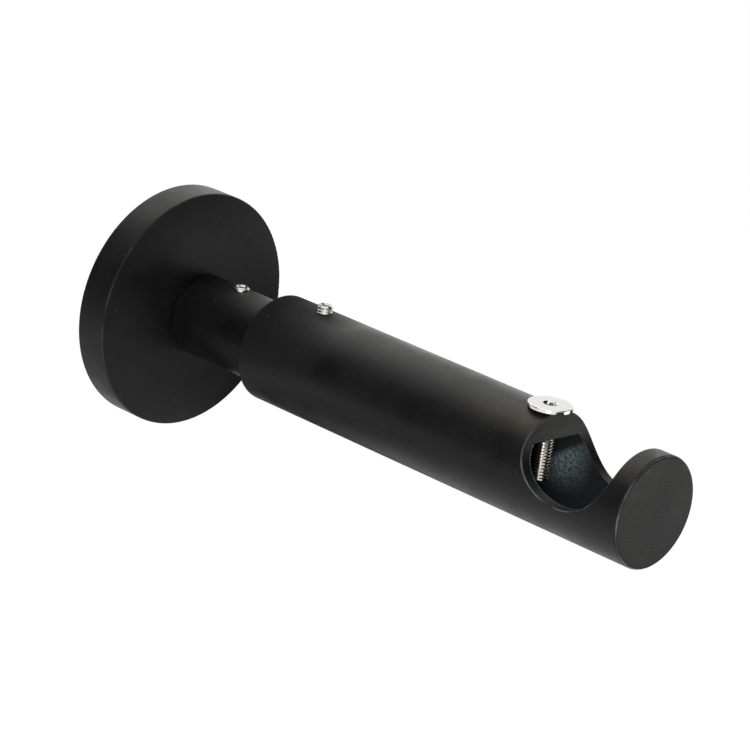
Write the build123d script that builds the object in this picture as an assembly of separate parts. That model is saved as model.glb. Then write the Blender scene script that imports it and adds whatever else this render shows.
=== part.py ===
from build123d import *
import os

# Sizes in millimetres. The origin is the middle of the back, on the wall.
# X runs out of the wall along the arm, Z is up, and the pole lies along Y.

# Rose
rose_radius = 31.5
rose_depth = 9.0
rose_crown = 2.5
rose_wall = 1.6
rose_edge = 0.5
rose_seat_rim = 1.0
rose_hole_gap = 0.25

# Wall plate, with the first of its holes at the top
plate_gap_to_rose = 3.4
plate_thickness = 3.0
wall_hole_radius = 2.4
wall_hole_from_edge = 7.5
wall_hole_count = 3
wall_hole_first_angle = 90.0
wall_hole_sink_radius = 4.6
wall_hole_sink_angle = 90.0

# Spigot on the plate
spigot_length = 33.0
spigot_nose = 1.0
spigot_groove_depth = 0.8
spigot_groove_width = 4.6
spigot_screw_radius = 2.5
spigot_screw_head_radius = 4.7
spigot_screw_grip = 9.0
spigot_screw_sunk = 0.2
spigot_screw_hex = 3.0
spigot_screw_socket = 1.6

# Stem
stem_wall = 2.2
stem_length = 88.5
stem_bore_gap = 0.2
stem_rear_edge = 1.2
stem_front_edge = 0.6
stem_screw_from_rear = 14.0

# Arm
arm_radius = 14.0
arm_wall = 3.0
arm_length = 125.2
arm_gap_to_rose = 29.2
arm_bore_gap = 0.3
arm_rear_edge = 0.8
arm_front_edge = 0.8
arm_mouth_chamfer = 0.4
arm_screw_from_rear = 14.5

# Cup for the pole
pole_radius = 12.5
pole_gap = 0.7
cup_centre_height = 10.15
cup_front_wall = 5.6
cup_floor_end = 2.4
cup_edge = 0.4

# Solid lip behind the cup, threaded for the clamp screw
lip_length = 16.0
lip_underside = 7.4
clamp_screw_behind_cup = 3.3

# Clamp screw
clamp_radius = 2.5
clamp_head_radius = 5.5
clamp_head_height = 1.0
clamp_head_edge = 0.25
clamp_length = 18.0
clamp_hex = 3.0
clamp_socket = 2.2
clamp_seat_gap = 0.03

# Grub screws
grub_radius = 2.0
grub_stem_length = 4.0
grub_arm_length = 5.0
grub_chamfer = 0.4
grub_hex = 2.0
grub_socket = 1.8
grub_tip_gap = 0.2
grub_seat_gap = 0.05

# Radial room between a thread and its hole
thread_gap = 0.06

# Sizes that follow: each tube fits inside the next one out
arm_bore_radius = arm_radius - arm_wall
stem_radius = arm_bore_radius - arm_bore_gap
stem_bore_radius = stem_radius - stem_wall
spigot_radius = stem_bore_radius - stem_bore_gap
groove_floor = spigot_radius - spigot_groove_depth
rose_seat_radius = stem_radius + rose_seat_rim
rose_hole_radius = spigot_radius + rose_hole_gap
plate_radius = rose_radius - rose_wall - plate_gap_to_rose
wall_hole_circle = plate_radius - wall_hole_from_edge
cup_radius = pole_radius + pole_gap

# Places along X that follow
rose_face = rose_depth + rose_crown
stem_end = rose_face + stem_length
stem_screw_x = rose_face + stem_screw_from_rear
arm_start = rose_face + arm_gap_to_rose
arm_end = arm_start + arm_length
arm_screw_x = arm_start + arm_screw_from_rear
cup_x = arm_end - cup_front_wall - cup_radius
cup_rear = cup_x - cup_radius
lip_start = cup_rear - lip_length
clamp_x = cup_rear - clamp_screw_behind_cup


def turned(*points):
    """Solid of revolution about X from (x, radius) corners."""
    outline = Plane.XZ * make_face(Polyline(*points, close=True))
    return revolve(outline, Axis.X)


def rod_x(radius, start, end):
    """Round bar along X."""
    return Pos(start, 0, 0) * Cylinder(
        radius, end - start, rotation=(0, 90, 0), align=(Align.CENTER, Align.CENTER, Align.MIN)
    )


def rod_z(radius, x, low, high):
    """Round bar standing along Z at x."""
    return Pos(x, 0, low) * Cylinder(
        radius, high - low, align=(Align.CENTER, Align.CENTER, Align.MIN)
    )


def hex_pocket(plane, across_flats, depth):
    """Hexagonal socket that goes down from a plane."""
    key = RegularPolygon(across_flats / 2, 6, major_radius=False)
    return extrude(plane * key, -depth)


def rose_body(radius, depth, crown, seat_radius, edge):
    """Filled rose: a straight rim and a crowned face with a flat round seat in its middle."""
    face = depth + crown
    with BuildSketch(Plane.XZ) as half:
        with BuildLine():
            Polyline((face, seat_radius), (face, 0), (0, 0), (0, radius), (depth, radius))
            TangentArc((face, seat_radius), (depth, radius), tangent=(0, 1))
        make_face()
        corner = half.vertices().group_by(Axis.Y)[-1].sort_by(Axis.X)[-1]
        fillet(corner, edge)
    return revolve(half.sketch, Axis.X)


def make_rose():
    """Hollow cover that hides the wall plate and is held by the stem's rear end."""
    outside = rose_body(rose_radius, rose_depth, rose_crown, rose_seat_radius, rose_edge)
    inside = rose_body(
        rose_radius - rose_wall, rose_depth - rose_wall, rose_crown, rose_seat_radius, rose_edge
    )
    return outside - inside - rod_x(rose_hole_radius, 0, rose_face)


def make_wall_plate():
    """Steel disc with wall holes sunk from the front and a middle hole sunk from the back."""
    plate = rod_x(plate_radius, 0, plate_thickness)
    front = Plane(origin=(plate_thickness, 0, 0), x_dir=(0, 1, 0), z_dir=(1, 0, 0))
    holes = front * PolarLocations(
        wall_hole_circle, wall_hole_count, start_angle=wall_hole_first_angle
    )
    for place in holes:
        plate -= place * CounterSinkHole(
            wall_hole_radius, wall_hole_sink_radius, plate_thickness, wall_hole_sink_angle
        )
    return plate - spigot_screw_space()


def spigot_screw_shape(gap):
    """Countersunk screw without its socket, wider all round by a gap."""
    head = spigot_screw_head_radius + gap
    shank = spigot_screw_radius + gap
    back = spigot_screw_sunk
    tip = back + spigot_screw_grip + gap
    return turned((back, 0), (back, head), (back + head - shank, shank), (tip, shank), (tip, 0))


def spigot_screw_space():
    """Hole for the countersunk screw, with the shallow recess behind its head."""
    recess = rod_x(spigot_screw_head_radius + thread_gap, 0, spigot_screw_sunk)
    return spigot_screw_shape(thread_gap) + recess


def make_spigot():
    """Turned peg with a chamfered nose and a ring groove for the stem's grub screw."""
    end = plate_thickness + spigot_length
    peg = turned(
        (plate_thickness, 0),
        (plate_thickness, spigot_radius),
        (end - spigot_nose, spigot_radius),
        (end, spigot_radius - spigot_nose),
        (end, 0),
    )
    start = stem_screw_x - spigot_groove_width / 2
    groove = rod_x(spigot_radius + spigot_nose, start, start + spigot_groove_width)
    groove -= rod_x(spigot_radius - spigot_groove_depth, start, start + spigot_groove_width)
    return peg - groove - spigot_screw_space()


def make_spigot_screw():
    """Countersunk socket screw that pulls the spigot against the plate."""
    back = Plane(origin=(spigot_screw_sunk, 0, 0), x_dir=(0, 1, 0), z_dir=(-1, 0, 0))
    return spigot_screw_shape(0) - hex_pocket(back, spigot_screw_hex, spigot_screw_socket)


def make_stem():
    """Tube that slips over the spigot and carries the arm."""
    tube = rod_x(stem_radius, rose_face, stem_end)
    tube = fillet(tube.edges().sort_by(Axis.X)[0], stem_rear_edge)
    tube = fillet(tube.edges().sort_by(Axis.X)[-1], stem_front_edge)
    tube -= rod_x(stem_bore_radius, rose_face, stem_end)
    return tube - rod_z(grub_radius + thread_gap, stem_screw_x, 0, stem_radius)


def make_grub_screw(x, tip, length):
    """Headless socket screw standing in the top of a tube."""
    screw = rod_z(grub_radius, x, tip, tip + length)
    screw = chamfer(screw.edges().filter_by(GeomType.CIRCLE), grub_chamfer)
    top = Plane(origin=(x, 0, tip + length))
    return screw - hex_pocket(top, grub_hex, grub_socket)


def make_arm():
    """Cast arm: a bored bar with a closed front end, a cross-wise cup and a solid threaded lip."""
    bar = rod_x(arm_radius, arm_start, arm_end)
    bar = fillet(bar.edges().sort_by(Axis.X)[0], arm_rear_edge)
    bar = fillet(bar.edges().sort_by(Axis.X)[-1], arm_front_edge)

    mouth = arm_bore_radius + arm_mouth_chamfer
    bore = turned(
        (arm_start, 0),
        (arm_start, mouth),
        (arm_start + arm_mouth_chamfer, arm_bore_radius),
        (cup_x + cup_radius - cup_floor_end, arm_bore_radius),
        (cup_x + cup_radius - cup_floor_end, 0),
    )
    lip = Pos(lip_start, 0, lip_underside) * Box(
        arm_length, 2 * arm_radius, arm_radius, align=(Align.MIN, Align.CENTER, Align.MIN)
    )
    bored = bar - (bore - lip)

    hollow = Plane.XZ * (
        Pos(cup_x, cup_centre_height) * Circle(cup_radius)
        + Pos(cup_x, cup_centre_height)
        * Rectangle(2 * cup_radius, arm_radius, align=(Align.CENTER, Align.MIN))
    )
    cup = extrude(hollow, arm_radius, both=True)
    arm = bored - cup
    middle_of_wall = (arm_bore_radius + arm_radius) / 2
    outer_rim = [
        edge
        for edge in new_edges(bored, cup, combined=arm)
        if Vector(0, edge.center().Y, edge.center().Z).length > middle_of_wall
    ]
    arm = fillet(outer_rim, cup_edge)

    arm -= rod_z(clamp_radius + thread_gap, clamp_x, 0, arm_radius)
    return arm - rod_z(grub_radius + thread_gap, arm_screw_x, 0, arm_radius)


def make_clamp_screw():
    """Screw with a broad flat head that reaches over the mouth of the cup."""
    seat = arm_radius + clamp_seat_gap
    head = rod_z(clamp_head_radius, clamp_x, seat, seat + clamp_head_height)
    head = fillet(head.edges().filter_by(GeomType.CIRCLE).sort_by(Axis.Z)[-1], clamp_head_edge)
    shank = rod_z(clamp_radius, clamp_x, seat - clamp_length, seat)
    shank = chamfer(shank.edges().filter_by(GeomType.CIRCLE).sort_by(Axis.Z)[0], grub_chamfer)
    top = Plane(origin=(clamp_x, 0, seat + clamp_head_height))
    return head + shank - hex_pocket(top, clamp_hex, clamp_socket)


pieces = {
    "wall_plate": make_wall_plate(),
    "spigot": make_spigot(),
    "spigot_screw": make_spigot_screw(),
    "rose": make_rose(),
    "stem": make_stem(),
    "stem_grub_screw": make_grub_screw(stem_screw_x, groove_floor + grub_seat_gap, grub_stem_length),
    "arm": make_arm(),
    "arm_grub_screw": make_grub_screw(arm_screw_x, stem_radius + grub_tip_gap, grub_arm_length),
    "clamp_screw": make_clamp_screw(),
}

os.makedirs("parts", exist_ok=True)
for name, shape in pieces.items():
    export_step(shape, f"parts/{name}.step")
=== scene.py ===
from math import cos, pi, radians, sin

import bmesh
import bpy
from mathutils import Euler, Matrix, Vector


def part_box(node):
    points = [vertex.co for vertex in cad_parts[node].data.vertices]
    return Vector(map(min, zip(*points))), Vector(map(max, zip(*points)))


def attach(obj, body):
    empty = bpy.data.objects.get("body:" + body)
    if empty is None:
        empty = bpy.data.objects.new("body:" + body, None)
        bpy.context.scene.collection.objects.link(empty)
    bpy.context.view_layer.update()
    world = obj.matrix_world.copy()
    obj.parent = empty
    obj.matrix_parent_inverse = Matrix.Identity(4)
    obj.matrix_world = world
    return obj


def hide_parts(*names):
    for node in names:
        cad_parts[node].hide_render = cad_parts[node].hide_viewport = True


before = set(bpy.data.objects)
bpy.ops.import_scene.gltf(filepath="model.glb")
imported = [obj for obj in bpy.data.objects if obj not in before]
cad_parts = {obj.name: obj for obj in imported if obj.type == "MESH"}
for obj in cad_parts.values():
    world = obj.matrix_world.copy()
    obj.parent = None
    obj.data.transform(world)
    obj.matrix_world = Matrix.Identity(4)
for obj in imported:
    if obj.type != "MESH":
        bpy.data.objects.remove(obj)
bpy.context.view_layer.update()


# The wall plate is a punched disc of zinc-plated steel, about 3 mm thick.
# Three countersunk screws would hold it to the wall, and the rose hides it.

def new_finish(name):
    """A new material, with its surface shader and the place of each point on the part."""
    finish = bpy.data.materials.new(name)
    finish.use_nodes = True
    shader = finish.node_tree.nodes["Principled BSDF"]
    place = finish.node_tree.nodes.new("ShaderNodeTexCoord").outputs["Object"]
    return finish, shader, place


def wire(finish, value, socket):
    """Link a value into a socket, or write a plain number there."""
    if isinstance(value, bpy.types.NodeSocket):
        finish.node_tree.links.new(value, socket)
    else:
        socket.default_value = value


def grain(finish, place, spacing, detail=2.0):
    """Soft noise whose lumps are about one spacing apart."""
    noise = finish.node_tree.nodes.new("ShaderNodeTexNoise")
    noise.inputs["Scale"].default_value = 1 / spacing
    noise.inputs["Detail"].default_value = detail
    wire(finish, place, noise.inputs["Vector"])
    return noise.outputs["Fac"]


def between(finish, value, low, high, start=0.0, end=1.0):
    """Value spread from low, where it is at its start, to high, at its end."""
    spread = finish.node_tree.nodes.new("ShaderNodeMapRange")
    wire(finish, value, spread.inputs["Value"])
    for socket, number in zip(spread.inputs[1:5], (start, end, low, high)):
        socket.default_value = number
    return spread.outputs["Result"]


def tint(finish, amount, dark, light):
    """Colour that goes from dark to light with an amount."""
    blend = finish.node_tree.nodes.new("ShaderNodeMix")
    blend.data_type = "RGBA"
    wire(finish, amount, blend.inputs["Factor"])
    for colour, socket in ((dark, blend.inputs["A"]), (light, blend.inputs["B"])):
        wire(finish, colour if isinstance(colour, bpy.types.NodeSocket) else (*colour, 1.0), socket)
    return blend.outputs["Result"]


def relief(finish, shader, height, depth, strength=1.0):
    """Small bumps on the surface, whose height runs from 0 to one depth."""
    bump = finish.node_tree.nodes.new("ShaderNodeBump")
    bump.inputs["Strength"].default_value = strength
    bump.inputs["Distance"].default_value = depth
    wire(finish, height, bump.inputs["Height"])
    wire(finish, bump.outputs["Normal"], shader.inputs["Normal"])


def zinc_plate():
    """Dull zinc plating with faint crystals and fine rolling marks."""
    finish, shader, place = new_finish("zinc_plate")
    nodes = finish.node_tree.nodes
    crystals = nodes.new("ShaderNodeTexVoronoi")
    crystals.inputs["Scale"].default_value = 260.0
    wire(finish, place, crystals.inputs["Vector"])
    squeeze = nodes.new("ShaderNodeMapping")
    squeeze.inputs["Scale"].default_value = (1.0, 1.0, 0.06)
    wire(finish, place, squeeze.inputs["Vector"])
    rolled = grain(finish, squeeze.outputs["Vector"], 0.0003)
    colour = tint(finish, crystals.outputs["Distance"], (0.50, 0.51, 0.52), (0.62, 0.63, 0.64))
    wire(finish, colour, shader.inputs["Base Color"])
    wire(finish, between(finish, rolled, 0.34, 0.5), shader.inputs["Roughness"])
    shader.inputs["Metallic"].default_value = 1.0
    relief(finish, shader, rolled, 0.00001)
    return finish


def dress(node, finish):
    """Give a solid of the frame its finish."""
    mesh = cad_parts[node].data
    mesh.materials.clear()
    mesh.materials.append(finish)


dress("wall_plate", zinc_plate())


# The spigot is a peg turned from bright mild steel and pressed against the plate.
# Its lathe marks run round it, also in the groove that takes the stem's grub screw.

def lathe_steel():
    """Bright turned steel with fine rings along X."""
    finish, shader, place = new_finish("lathe_steel")
    stretch = finish.node_tree.nodes.new("ShaderNodeMapping")
    stretch.inputs["Scale"].default_value = (1.0, 0.02, 0.02)
    wire(finish, place, stretch.inputs["Vector"])
    rings = grain(finish, stretch.outputs["Vector"], 0.00018, 3.0)
    steel = tint(finish, rings, (0.50, 0.49, 0.47), (0.66, 0.65, 0.63))
    wire(finish, steel, shader.inputs["Base Color"])
    wire(finish, between(finish, rings, 0.22, 0.38), shader.inputs["Roughness"])
    shader.inputs["Metallic"].default_value = 1.0
    relief(finish, shader, rings, 0.00002, 0.6)
    return finish


dress("spigot", lathe_steel())


# A countersunk socket screw of zinc-plated steel pulls the spigot against the plate.
# It goes in from behind, so that the plate can lie flat on the wall.

def screw_tree():
    """Turns a side line of rings into a closed screw, with its thread and its hexagonal socket."""
    tree = bpy.data.node_groups.new("turned_screw", "GeometryNodeTree")
    tree.is_modifier = True
    nodes, links = tree.nodes, tree.links
    tree.interface.new_socket("Side Line", in_out="INPUT", socket_type="NodeSocketGeometry")
    for name, kind in (
        ("Segments", "NodeSocketInt"),
        ("Pitch", "NodeSocketFloat"),
        ("Thread Depth", "NodeSocketFloat"),
        ("Weld Distance", "NodeSocketFloat"),
        ("Finish", "NodeSocketMaterial"),
    ):
        tree.interface.new_socket(name, in_out="INPUT", socket_type=kind)
    tree.interface.new_socket("Screw", in_out="OUTPUT", socket_type="NodeSocketGeometry")
    given = nodes.new("NodeGroupInput").outputs

    def step(kind, *values, **settings):
        node = nodes.new(kind)
        for setting, choice in settings.items():
            setattr(node, setting, choice)
        for socket, value in zip([s for s in node.inputs if s.enabled], values):
            if isinstance(value, bpy.types.NodeSocket):
                links.new(value, socket)
            elif value is not None:
                socket.default_value = value
        return next(s for s in node.outputs if s.enabled)

    def sums(operation, *values):
        return step("ShaderNodeMath", *values, operation=operation)

    def ring_value(attribute, ring, kind="FLOAT"):
        return step("GeometryNodeSampleIndex", given["Side Line"], attribute, ring, data_type=kind)

    rings = step("GeometryNodeAttributeDomainSize", given["Side Line"])
    columns = sums("ADD", given["Segments"], 1.0)
    sheet = step("GeometryNodeMeshGrid", 1.0, 1.0, rings, columns)
    index = step("GeometryNodeInputIndex")
    ring = sums("FLOOR", sums("DIVIDE", sums("ADD", index, 0.5), columns))
    column = sums("SUBTRACT", index, sums("MULTIPLY", ring, columns))
    turn = sums("DIVIDE", column, given["Segments"])
    angle = sums("MULTIPLY", turn, 2 * pi)

    corner = nodes.new("ShaderNodeSeparateXYZ")
    links.new(ring_value(step("GeometryNodeInputPosition"), ring, "FLOAT_VECTOR"), corner.inputs[0])
    radius, height = corner.outputs["X"], corner.outputs["Z"]
    threaded = ring_value(step("GeometryNodeInputNamedAttribute", "threaded"), ring)
    six_sided = ring_value(step("GeometryNodeInputNamedAttribute", "six_sided"), ring)

    phase = sums("FRACT", sums("SUBTRACT", sums("DIVIDE", height, given["Pitch"]), turn))
    flank = sums("ABSOLUTE", sums("SUBTRACT", sums("MULTIPLY", phase, 2.0), 1.0))
    groove = step("ShaderNodeMapRange", flank, 0.0, 1.0, 0.0, 1.0, interpolation_type="SMOOTHSTEP")
    cut = sums("MULTIPLY", sums("MULTIPLY", groove, given["Thread Depth"]), threaded)
    side = sums("SUBTRACT", sums("MODULO", sums("ADD", angle, pi / 6), pi / 3), pi / 6)
    outward = sums("SUBTRACT", sums("DIVIDE", 1.0, sums("COSINE", side)), 1.0)
    reach = sums("ADD", sums("MULTIPLY", outward, six_sided), 1.0)
    radius = sums("MULTIPLY", sums("SUBTRACT", radius, cut), reach)

    spot = step(
        "ShaderNodeCombineXYZ",
        sums("MULTIPLY", radius, sums("COSINE", angle)),
        sums("MULTIPLY", radius, sums("SINE", angle)),
        height,
    )
    shape = step("GeometryNodeSetPosition", sheet, None, spot)
    shape = step("GeometryNodeMergeByDistance", shape, None, given["Weld Distance"])
    shape = step("GeometryNodeRealizeInstances", shape)
    shape = step("GeometryNodeSetMaterial", shape, None, given["Finish"])
    links.new(shape, nodes.new("NodeGroupOutput").inputs["Screw"])
    return tree


def make_screw(name, side_line, pitch, finish, stand):
    """One screw from the (radius, height, threaded, six_sided) corners of its side, in metres."""
    rings_per_pitch, depth_per_pitch = 16, 0.36
    rings = [side_line[0]]
    for before, after in zip(side_line, side_line[1:]):
        threads = abs(after[1] - before[1]) / pitch if before[2] and after[2] else 0
        steps = max(1, round(threads * rings_per_pitch))
        for n in range(1, steps + 1):
            rings.append(tuple(a + (b - a) * n / steps for a, b in zip(before, after)))

    line = bpy.data.meshes.new(name + "_side")
    line.from_pydata([(r, 0, z) for r, z, _, _ in rings], [], [])
    for place, attribute in ((2, "threaded"), (3, "six_sided")):
        marks = line.attributes.new(attribute, "FLOAT", "POINT")
        for mark, ring in zip(marks.data, rings):
            mark.value = ring[place]
    maker = bpy.data.objects.new(name + "_maker", line)
    bpy.context.collection.objects.link(maker)

    turning = maker.modifiers.new("turned_screw", "NODES")
    turning.node_group = screws
    sizes = {
        "Segments": 60,
        "Pitch": pitch,
        "Thread Depth": depth_per_pitch * pitch,
        "Weld Distance": 0.000001,
        "Finish": finish,
    }
    for socket in screws.interface.items_tree:
        if socket.name in sizes:
            turning[socket.identifier] = sizes[socket.name]
    depsgraph = bpy.context.evaluated_depsgraph_get()
    mesh = bpy.data.meshes.new_from_object(maker.evaluated_get(depsgraph), depsgraph=depsgraph)
    bpy.data.objects.remove(maker)

    mesh.transform(stand)
    whole = bmesh.new()
    whole.from_mesh(mesh)
    bmesh.ops.recalc_face_normals(whole, faces=whole.faces)
    whole.to_mesh(mesh)
    whole.free()
    mesh.shade_smooth()
    mesh.set_sharp_from_angle(angle=radians(35))
    screw = bpy.data.objects.new(name, mesh)
    bpy.context.collection.objects.link(screw)
    return screw


def screw_steel(name, dark, light, rough, polish):
    """Plated screw steel: a bright coat with a faint grain, a little duller in patches."""
    finish, shader, place = new_finish(name)
    patches = grain(finish, place, 0.0012)
    wire(finish, tint(finish, patches, dark, light), shader.inputs["Base Color"])
    wire(finish, between(finish, patches, polish, rough, 0.35, 0.65), shader.inputs["Roughness"])
    shader.inputs["Metallic"].default_value = 1.0
    relief(finish, shader, grain(finish, place, 0.0002), 0.000004)
    return finish


screws = screw_tree()
spigot_screw_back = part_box("spigot_screw")[0].x
spigot_screw_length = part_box("spigot_screw")[1].x - spigot_screw_back
up_turned_to_x = Matrix(((0, 0, 1, 0), (1, 0, 0, 0), (0, 1, 0, 0), (0, 0, 0, 1)))
spigot_screw = make_screw(
    "spigot_screw_threaded",
    [
        (0, 0.0021, 0, 0),
        (0.0015, 0.0016, 0, 1),
        (0.0015, 0.0003, 0, 1),
        (0.00185, 0, 0, 0),
        (0.0046, 0, 0, 0),
        (0.0047, 0.0001, 0, 0),
        (0.0025, 0.0023, 0, 0),
        (0.0025, 0.0027, 1, 0),
        (0.0025, spigot_screw_length - 0.0004, 1, 0),
        (0.0021, spigot_screw_length, 0, 0),
        (0, spigot_screw_length, 0, 0),
    ],
    pitch=0.0008,
    finish=screw_steel(
        "zinc_screw", (0.50, 0.51, 0.53), (0.62, 0.62, 0.63), rough=0.34, polish=0.24
    ),
    stand=Matrix.Translation((spigot_screw_back, 0, 0)) @ up_turned_to_x,
)
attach(spigot_screw, "wall_side")
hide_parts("spigot_screw")


# The rose is a thin zinc die casting that covers the plate and its screws.
# It is powder coated in satin black: fine even grain, with a few pale specks in it.

def sum_of(finish, operation, first, second=0.0):
    """Result of one sum on two values."""
    sum_node = finish.node_tree.nodes.new("ShaderNodeMath")
    sum_node.operation = operation
    wire(finish, first, sum_node.inputs[0])
    wire(finish, second, sum_node.inputs[1])
    return sum_node.outputs["Value"]


def span(finish, first, second):
    """Length of the diagonal of two sides."""
    squares = [sum_of(finish, "MULTIPLY", side, side) for side in (first, second)]
    return sum_of(finish, "SQRT", sum_of(finish, "ADD", *squares))


def black_coat(name, gloss):
    """Satin black powder coat, with its shader, its colour so far and the place on the part."""
    finish, shader, place = new_finish(name)
    nodes = finish.node_tree.nodes
    cloud = grain(finish, place, 0.009)
    powder = grain(finish, place, 0.00032, 2.0)
    black, less_black = (0.0042, 0.0042, 0.0044), (0.0064, 0.0063, 0.0062)
    colour = tint(finish, between(finish, cloud, 0, 1, 0.3, 0.7), black, less_black)

    dust = nodes.new("ShaderNodeTexVoronoi")
    speck_spacing = 0.0036
    dust.inputs["Scale"].default_value = 1 / speck_spacing
    wire(finish, place, dust.inputs["Vector"])
    specks = between(finish, dust.outputs["Distance"], 1, 0, 0.025, 0.055)
    colour = tint(finish, specks, colour, (0.08, 0.085, 0.09))

    wire(finish, colour, shader.inputs["Base Color"])
    rough = between(finish, powder, 0.36, 0.46, 0.3, 0.7)
    rough = sum_of(finish, "ADD", rough, between(finish, cloud, -0.03, 0.05, 0.35, 0.65))
    wire(finish, rough, shader.inputs["Roughness"])
    shader.inputs["Specular IOR Level"].default_value = gloss
    relief(finish, shader, powder, 0.00004)
    return finish, shader, colour, place


def from_ring(finish, place, ring_x, ring_radius):
    """Distance to a ring round the axis of the tubes."""
    axes = finish.node_tree.nodes.new("ShaderNodeSeparateXYZ")
    wire(finish, place, axes.inputs["Vector"])
    from_axis = span(finish, axes.outputs["Y"], axes.outputs["Z"])
    along = sum_of(finish, "SUBTRACT", axes.outputs["X"], ring_x)
    return span(finish, along, sum_of(finish, "SUBTRACT", from_axis, ring_radius))


def tube_coat(name, gloss, ring_x, ring_radius, width, edge_highlight, top):
    """Black coat with a painted highlight: a pale line along one round edge, below a height."""
    finish, shader, colour, place = black_coat(name, gloss)
    on_lit_edge = between(finish, from_ring(finish, place, ring_x, ring_radius), 1, 0, width / 3, width)
    patchy = between(finish, grain(finish, place, 0.008), 0.2, 1, 0.4, 0.6)
    height = finish.node_tree.nodes.new("ShaderNodeSeparateXYZ")
    wire(finish, place, height.inputs["Vector"])
    lit_low_side = between(finish, height.outputs["Z"], 1, 0, top - 0.005, top)
    amount = sum_of(finish, "MULTIPLY", sum_of(finish, "MULTIPLY", on_lit_edge, patchy), lit_low_side)
    colour = tint(finish, amount, colour, edge_highlight)
    wire(finish, colour, shader.inputs["Base Color"])
    return finish


# A pale line round the front edge of the rose is a painted highlight.
rose_coat = tube_coat(
    "rose_black_coat",
    gloss=0.17,
    ring_x=0.00885,
    ring_radius=0.03135,
    width=0.00035,
    edge_highlight=(0.03, 0.03, 0.03),
    top=0.04,
)
dress("rose", rose_coat)


# The stem is a drawn steel tube with a rounded rear end, coated in the same black.
# It slips over the spigot and carries the arm.

# A pale line under the stem's rear edge is a painted highlight, where light from below catches the
# rounding.
stem_coat = tube_coat(
    "stem_black_coat",
    gloss=0.13,
    ring_x=0.0119,
    ring_radius=0.0104,
    width=0.0008,
    edge_highlight=(0.07, 0.07, 0.068),
    top=-0.001,
)
dress("stem", stem_coat)


# A nickel-plated M4 grub screw stands in the top of the stem, on the spigot's groove.
# It is a bought screw with a rolled thread and a 2 mm hexagonal socket.

def make_grub_screw(node):
    """Headless M4 screw in the place of a solid of the frame."""
    low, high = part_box(node)
    length = high.z - low.z
    return make_screw(
        node + "_threaded",
        [
            (0, 0, 0, 0),
            (0.0016, 0, 0, 0),
            (0.002, 0.0004, 0, 0),
            (0.002, 0.0005, 1, 0),
            (0.002, length - 0.0009, 1, 0),
            (0.002, length - 0.0005, 0, 0),
            (0.0016, length, 0, 0),
            (0.00145, length, 0, 0),
            (0.001, length - 0.0004, 0, 1),
            (0.001, length - 0.0018, 0, 1),
            (0, length - 0.0022, 0, 0),
        ],
        pitch=0.0007,
        finish=grub_nickel,
        stand=Matrix.Translation(((low.x + high.x) / 2, 0, low.z)),
    )


grub_nickel = screw_steel(
    "grub_nickel", (0.66, 0.66, 0.65), (0.76, 0.76, 0.745), rough=0.32, polish=0.24
)
stem_grub = make_grub_screw("stem_grub_screw")
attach(stem_grub, "wall_side")
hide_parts("stem_grub_screw")


# The arm is cast zinc, bored from the rear and milled across for the pole.
# Its outside is coated black, with painted highlights along the rims of the cup and the end,
# and a painted warm reflection beside the cup. Inside, the coat is thin and the rough casting
# shows grey, with painted light on it and painted shade under the lip and towards the bottom.

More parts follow.
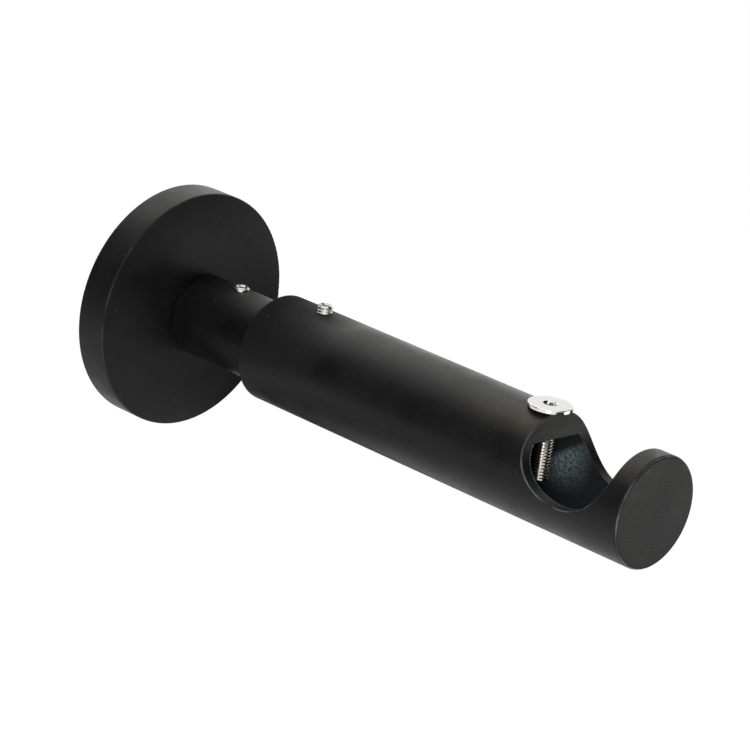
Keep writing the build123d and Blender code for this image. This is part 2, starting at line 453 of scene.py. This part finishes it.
def arm_finish():
    """Black coat outside, with painted highlights on its rims and a painted warm reflection; grey
    rough metal in the bore, with painted light and shade.
    """
    finish, shader, colour, place = black_coat("arm_black_coat", gloss=0.22)
    axes = finish.node_tree.nodes.new("ShaderNodeSeparateXYZ")
    wire(finish, place, axes.inputs["Vector"])
    x, y, z = (axes.outputs[axis] for axis in "XYZ")
    from_axis = span(finish, y, z)

    def times(first, second):
        return sum_of(finish, "MULTIPLY", first, second)

    def minus(first, second):
        return sum_of(finish, "SUBTRACT", first, second)

    # The pale lines along the rim of the cup and the rim of the closed end are painted highlights.
    cup_x, cup_z, cup_rim_radius, tube_rim_radius = 0.1471, 0.01015, 0.01332, 0.01388
    end_x, end_rim_radius = 0.16566, 0.01376
    edge_start, edge_width = 0.0001, 0.00028
    below = sum_of(finish, "MINIMUM", minus(z, cup_z), 0.0)
    from_cup = span(finish, minus(x, cup_x), below)
    rims = [
        span(finish, minus(from_cup, cup_rim_radius), minus(from_axis, tube_rim_radius)),
        from_ring(finish, place, end_x, end_rim_radius),
    ]
    on_lit_edge = between(finish, sum_of(finish, "MINIMUM", *rims), 1, 0, edge_start, edge_width)
    edge_highlight_patches = between(finish, grain(finish, place, 0.006), 0.1, 1, 0.38, 0.6)
    colour = tint(finish, times(on_lit_edge, edge_highlight_patches), colour, (0.095, 0.104, 0.108))

    # A warm olive patch on the coat beside the cup is a painted reflection.
    warm_reflection = between(finish, grain(finish, place, 0.006), 0.4, 1, 0.35, 0.65)
    for distance, low, high, start, end in (
        (x, 0, 1, 0.108, 0.125),
        (y, 1, 0, -0.0085, -0.002),
        (z, 0, 1, 0.008, 0.0118),
        (from_axis, 0, 1, 0.0134, 0.0137),
    ):
        warm_reflection = times(warm_reflection, between(finish, distance, low, high, start, end))
    colour = tint(finish, warm_reflection, colour, (0.034, 0.0297, 0.0125))

    # In the bore the grey casting is painted lit where light reaches in, with a lighter patch on
    # the near wall, and painted dark shade under the lip, towards the bottom and towards the closed
    # end; the blotches are its own rough grain.
    bore_radius, lip_underside, closed_end, border = 0.0111, 0.0073, 0.16, 0.0001
    inside = 1.0
    for distance, limit in ((from_axis, bore_radius), (z, lip_underside), (x, closed_end)):
        inside = times(between(finish, distance, 1, 0, limit, limit + border), inside)
    blotches = between(finish, grain(finish, place, 0.0006, 4.0), 0, 1, 0.38, 0.7)
    lit_casting_grey = tint(finish, blotches, (0.055, 0.072, 0.08), (0.22, 0.283, 0.306))
    shade_slope, shade_height = 0.68, -0.0853
    from_lip_shadow_line = minus(minus(z, times(x, shade_slope)), shade_height)
    painted_light_reach = between(finish, z, 0, 1, -0.0085, -0.003)
    for distance, start, end in ((x, 0.130, 0.138), (from_lip_shadow_line, -0.0024, -0.0008)):
        painted_light_reach = times(painted_light_reach, between(finish, distance, 1, 0, start, end))
    near_wall_painted_light = between(finish, y, 0.8, 0, -0.006, 0.0)
    painted_light_reach = sum_of(finish, "MAXIMUM", painted_light_reach, near_wall_painted_light)
    casting = tint(finish, painted_light_reach, (0.02, 0.0225, 0.0245), lit_casting_grey)
    wire(finish, tint(finish, inside, colour, casting), shader.inputs["Base Color"])

    coat_rough = shader.inputs["Roughness"].links[0].from_socket
    dull_rear = between(finish, x, 0.55, 0, 0.044, 0.068)
    dull_rear = times(dull_rear, between(finish, z, 0, 1, -0.004, 0.006))
    wire(finish, sum_of(finish, "ADD", coat_rough, dull_rear), shader.inputs["Roughness"])
    return finish


dress("arm", arm_finish())


# A longer M4 grub screw stands in the top of the arm and bears on the stem.
# Loosened, it lets the arm slide out from the wall.

arm_grub = make_grub_screw("arm_grub_screw")
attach(arm_grub, "arm")
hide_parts("arm_grub_screw")


# The clamp screw is an M5 screw with a broad flat head, polished and nickel plated.
# It goes down through the lip, and its head reaches over the pole.

def clamp_nickel(middle):
    """Polished nickel with fine turned rings round the screw's axis."""
    finish, shader, place = new_finish("clamp_nickel")
    nodes = finish.node_tree.nodes
    centred = nodes.new("ShaderNodeMapping")
    centred.inputs["Location"].default_value = (-middle.x, -middle.y, 0)
    centred.inputs["Scale"].default_value = (1, 1, 0)
    wire(finish, place, centred.inputs["Vector"])
    out = nodes.new("ShaderNodeVectorMath")
    out.operation = "LENGTH"
    wire(finish, centred.outputs["Vector"], out.inputs[0])
    along = nodes.new("ShaderNodeCombineXYZ")
    wire(finish, out.outputs["Value"], along.inputs["X"])
    rings = grain(finish, along.outputs["Vector"], 0.00016, 3.0)
    head = tint(finish, rings, (0.74, 0.735, 0.72), (0.81, 0.805, 0.79))
    height = nodes.new("ShaderNodeSeparateXYZ")
    wire(finish, place, height.inputs["Vector"])
    thread_top, head_underside = 0.0138, 0.014
    on_thread = between(finish, height.outputs["Z"], 1, 0, thread_top, head_underside)
    # The thread is a darker, browner nickel than the head: painted shade for the thread down in the
    # dim bore.
    colour = tint(finish, on_thread, head, (0.66, 0.61, 0.55))
    wire(finish, colour, shader.inputs["Base Color"])
    polish = between(finish, rings, 0.12, 0.2, 0.3, 0.7)
    rough = sum_of(finish, "ADD", polish, sum_of(finish, "MULTIPLY", on_thread, 0.02))
    wire(finish, rough, shader.inputs["Roughness"])
    shader.inputs["Metallic"].default_value = 1.0
    relief(finish, shader, rings, 0.000003, 0.5)
    return finish


clamp_low, clamp_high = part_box("clamp_screw")
clamp_length = clamp_high.z - clamp_low.z
head_radius = (clamp_high.x - clamp_low.x) / 2
head_height, head_edge = 0.001, 0.00025
head_bottom = clamp_length - head_height
rounding = [
    (
        head_radius - head_edge + head_edge * cos(angle),
        clamp_length - head_edge + head_edge * sin(angle),
        0,
        0,
    )
    for angle in (radians(18 * n) for n in range(6))
]
clamp_screw = make_screw(
    "clamp_screw_threaded",
    [
        (0, 0, 0, 0),
        (0.0021, 0, 0, 0),
        (0.0025, 0.0004, 0, 0),
        (0.0025, 0.0005, 1, 0),
        (0.0025, head_bottom - 0.0012, 1, 0),
        (0.0023, head_bottom - 0.001, 0, 0),
        (0.0023, head_bottom, 0, 0),
        (head_radius - 0.0001, head_bottom, 0, 0),
        (head_radius, head_bottom + 0.0001, 0, 0),
        *rounding,
        (0.00185, clamp_length, 0, 0),
        (0.0015, clamp_length - 0.0003, 0, 1),
        (0.0015, clamp_length - 0.0022, 0, 1),
        (0, clamp_length - 0.0028, 0, 0),
    ],
    pitch=0.0008,
    finish=clamp_nickel((clamp_low + clamp_high) / 2),
    stand=Matrix.Translation(((clamp_low.x + clamp_high.x) / 2, 0, clamp_low.z)),
)
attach(clamp_screw, "clamp_screw")
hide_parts("clamp_screw")


# The studio is a wide white floor under the bracket and plain white all round.
# The floor shows white, keeps a soft shadow, and can't be seen from below.

def white_seen(tree, target):
    """Target for rays from the camera, a gloss or a clear body, and 0 for all others."""
    rays = tree.nodes.new("ShaderNodeLightPath")
    total = 0.0
    for kind in ("Is Camera Ray", "Is Glossy Ray", "Is Transmission Ray"):
        add = tree.nodes.new("ShaderNodeMath")
        add.use_clamp = True
        tree.links.new(rays.outputs[kind], add.inputs[0])
        if isinstance(total, bpy.types.NodeSocket):
            tree.links.new(total, add.inputs[1])
        else:
            add.inputs[1].default_value = total
        total = add.outputs["Value"]
    part = tree.nodes.new("ShaderNodeMath")
    part.operation = "MULTIPLY"
    part.inputs[1].default_value = target
    tree.links.new(total, part.inputs[0])
    return part.outputs["Value"]


floor_reach, floor_z = 6, -0.13
floor_corners = [(-1, -1), (1, -1), (1, 1), (-1, 1)]
floor_mesh = bpy.data.meshes.new("floor")
floor_mesh.from_pydata(
    [(floor_reach * x, floor_reach * y, floor_z) for x, y in floor_corners], [], [(0, 1, 2, 3)]
)
floor = bpy.data.objects.new("floor", floor_mesh)
bpy.context.collection.objects.link(floor)
floor_white = bpy.data.materials.new("floor_white")
floor_white.use_nodes = True
tree = floor_white.node_tree
tree.nodes.clear()
matt = tree.nodes.new("ShaderNodeBsdfDiffuse")
matt.inputs["Color"].default_value = (0.9, 0.9, 0.9, 1)
glow = tree.nodes.new("ShaderNodeEmission")
glow.inputs["Strength"].default_value = 1.06
lit = tree.nodes.new("ShaderNodeMixShader")
tree.links.new(white_seen(tree, 0.9), lit.inputs[0])
tree.links.new(matt.outputs[0], lit.inputs[1])
tree.links.new(glow.outputs[0], lit.inputs[2])
clear = tree.nodes.new("ShaderNodeBsdfTransparent")
one_sided = tree.nodes.new("ShaderNodeMixShader")
tree.links.new(tree.nodes.new("ShaderNodeNewGeometry").outputs["Backfacing"], one_sided.inputs[0])
tree.links.new(lit.outputs[0], one_sided.inputs[1])
tree.links.new(clear.outputs[0], one_sided.inputs[2])
tree.links.new(one_sided.outputs[0], tree.nodes.new("ShaderNodeOutputMaterial").inputs["Surface"])
floor_mesh.materials.append(floor_white)

world = bpy.data.worlds.new("studio")
world.use_nodes = True
bpy.context.scene.world = world
sky = world.node_tree.nodes["Background"]
sky.inputs["Color"].default_value = (1, 1, 1, 1)
level = world.node_tree.nodes.new("ShaderNodeMapRange")
level.inputs["To Min"].default_value = 0.5
level.inputs["To Max"].default_value = 1.0
world.node_tree.links.new(white_seen(world.node_tree, 1.0), level.inputs["Value"])
world.node_tree.links.new(level.outputs["Result"], sky.inputs["Strength"])


# Soft boxes: one overhead and one behind draw the highlights along the tubes, one low on the
# right lights the end face, and two in front light the bright screws and the grey casting in the
# bore.
# The box behind leaves the screws out, so that their metal keeps its own tone.

def soft_box(name, place, aim, width, height, power):
    """Rectangular soft lamp at a place, turned towards a point of the part."""
    lamp = bpy.data.lights.new(name, "AREA")
    lamp.shape = "RECTANGLE"
    lamp.size, lamp.size_y, lamp.energy = width, height, power
    lamp.color = (1.0, 0.985, 0.95)
    box = bpy.data.objects.new(name, lamp)
    bpy.context.collection.objects.link(box)
    box.location = place
    box.rotation_euler = (Vector(aim) - Vector(place)).to_track_quat("-Z", "Y").to_euler()
    box.visible_camera = False
    return box


middle, end_face, cup = (0.10, 0, 0.01), (0.166, 0, 0), (0.14, 0, 0)
in_front = (0.50, -0.50, 0.08)
soft_box("over_box", (-0.34, 0.16, 0.54), middle, width=0.45, height=0.50, power=0.84)
back_box = soft_box("back_box", (-0.34, 0.52, 0.18), middle, width=0.80, height=0.56, power=0.82)
soft_box("end_box", (0.38, 0.24, -0.05), end_face, width=0.20, height=0.16, power=0.12)
front_box = soft_box("front_box", in_front, cup, width=0.15, height=0.46, power=1.3)
for box, name, state in (
    (front_box, "lit_in_front", "INCLUDE"),
    (back_box, "unlit_behind", "EXCLUDE"),
):
    bright_screws = bpy.data.collections.new(name)
    for screw in (stem_grub, arm_grub, clamp_screw):
        bright_screws.objects.link(screw)
    for member in bright_screws.collection_objects:
        member.light_linking.link_state = state
    box.light_linking.receiver_collection = bright_screws
cup_box = soft_box("cup_box", in_front, cup, width=0.15, height=0.46, power=2.6)
cup_box.visible_glossy = False


# Black cards stand and lie round the part and are seen only in reflections.
# They keep the side that faces the camera dark, the underside dark near the wall,
# and the right side of the clamp screw's thread dark.

card_black = bpy.data.materials.new("card_black")
card_black.use_nodes = True
card_black.node_tree.nodes["Principled BSDF"].inputs["Base Color"].default_value = (0, 0, 0, 1)
card_black.node_tree.nodes["Principled BSDF"].inputs["Specular IOR Level"].default_value = 0.0


def black_card(name, place, aim, width, height):
    """Rectangular black card at a place, turned towards a point."""
    mesh = bpy.data.meshes.new(name)
    x, y = width / 2, height / 2
    mesh.from_pydata([(-x, -y, 0), (x, -y, 0), (x, y, 0), (-x, y, 0)], [], [(0, 1, 2, 3)])
    turn = (Vector(aim) - Vector(place)).to_track_quat("Z", "Y").to_matrix().to_4x4()
    mesh.transform(Matrix.Translation(place) @ turn)
    mesh.materials.append(card_black)
    card = bpy.data.objects.new(name, mesh)
    bpy.context.collection.objects.link(card)
    card.visible_camera = card.visible_diffuse = False
    card.visible_shadow = card.visible_transmission = False


black_card("front_card", (-0.28, -0.43, 0.17), (0.10, 0, 0.014), width=0.54, height=0.60)
black_card("low_card", (-0.048, 0, -0.125), (-0.048, 0.001, 1), width=0.066, height=0.60)
black_card("side_card", (0.13, 0.40, -0.125), (0.13, 0.401, 1), width=0.36, height=0.54)
black_card("thread_card", (0.305, 0.185, 0.175), (0.131, 0, 0.004), width=0.40, height=0.36)


# The camera stands in front on the right, a little above the arm and tilted a few degrees.

camera_data = bpy.data.cameras.new("camera")
camera_data.lens = 145.96
camera_data.sensor_width = 36.0
camera = bpy.data.objects.new("camera", camera_data)
bpy.context.collection.objects.link(camera)
azimuth, elevation, tilt = radians(41.309), radians(17.9), radians(8.453)
turn = Euler((pi / 2 - elevation, 0, azimuth)).to_matrix() @ Matrix.Rotation(tilt, 3, "Z")
camera_place = (0.5481, -0.5384, 0.2352)
camera.matrix_world = Matrix.Translation(camera_place) @ turn.to_4x4()
bpy.context.scene.camera = camera
bpy.context.scene.view_settings.view_transform = "Standard"
